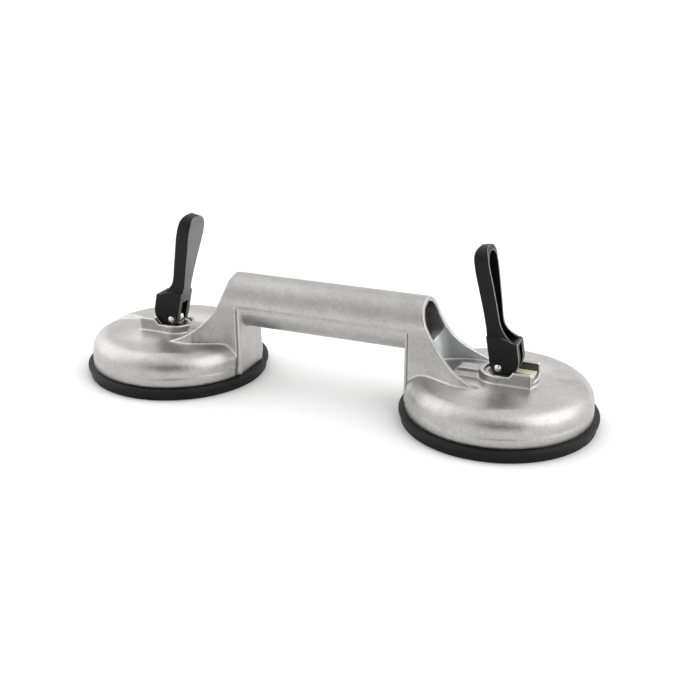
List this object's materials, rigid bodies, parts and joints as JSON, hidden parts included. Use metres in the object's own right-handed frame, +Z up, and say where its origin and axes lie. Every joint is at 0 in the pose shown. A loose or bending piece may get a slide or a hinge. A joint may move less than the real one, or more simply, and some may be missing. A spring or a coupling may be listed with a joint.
{
  "type": "vacuum suction lifter",
  "caption": "Vacuum suction lifter: a die-cast tube handle joins round rubber suction discs, each drawn up by a folding cam lever.",
  "frame": {"origin": "on the standing surface, midway between the two suction discs", "axes": "+X along the handle towards the right cup, +Z up through the levers, -Y towards the front"},
  "size_m": [0.341, 0.12, 0.1072],
  "materials": {
    "cast_aluminium": "satin, bead-blasted die casting",
    "disc_rubber": "matte moulded rubber",
    "lever_plastic": "satin black moulded plastic",
    "wear_plastic": "smooth cream acetal",
    "zinc_steel": "bright zinc plate",
    "plate_steel": "plain pressed steel",
    "spring_steel": "drawn spring wire",
    "bush_bronze": "sintered bronze"
  },
  "bodies": {
    "root": {"body_casting": "cast_aluminium", "right_rubber_disc": "disc_rubber", "right_return_spring": "spring_steel", "right_spring_seat": "zinc_steel", "right_guide_bush": "bush_bronze", "right_wear_plate": "wear_plastic", "left_rubber_disc": "disc_rubber", "left_return_spring": "spring_steel", "left_spring_seat": "zinc_steel", "left_guide_bush": "bush_bronze", "left_wear_plate": "wear_plastic"},
    "right_stud": {"right_draw_stud": "zinc_steel", "right_disc_plate": "plate_steel", "right_plate_washer": "zinc_steel", "right_lock_nut": "zinc_steel", "right_pivot_pin": "zinc_steel"},
    "right_lever": {"right_lever": "lever_plastic"},
    "left_stud": {"left_draw_stud": "zinc_steel", "left_disc_plate": "plate_steel", "left_plate_washer": "zinc_steel", "left_lock_nut": "zinc_steel", "left_pivot_pin": "zinc_steel"},
    "left_lever": {"left_lever": "lever_plastic"}
  },
  "joints": [
    {"name": "right_stud_slide", "type": "slide", "parent": "root", "child": "right_stud", "axis": [0, 0, 1], "range_m": [0, 0.00881], "deforming": ["right_return_spring", "right_rubber_disc"]},
    {"name": "right_lever_hinge", "type": "hinge", "parent": "right_stud", "child": "right_lever", "pos_m": [0.1105, 0, 0.0356], "axis": [0, 1, 0], "range_deg": [0, 99]},
    {"name": "left_stud_slide", "type": "slide", "parent": "root", "child": "left_stud", "axis": [0, 0, 1], "range_m": [0, 0.00903], "deforming": ["left_return_spring", "left_rubber_disc"]},
    {"name": "left_lever_hinge", "type": "hinge", "parent": "left_stud", "child": "left_lever", "pos_m": [-0.1105, 0, 0.03538], "axis": [0, -1, 0], "range_deg": [0, 101.5]}
  ],
  "couplings": [
    {"joint": "right_stud_slide", "follows": "right_lever_hinge", "m_per_rad": 0.0050936},
    {"joint": "left_stud_slide", "follows": "left_lever_hinge", "m_per_rad": 0.0050936}
  ]
}
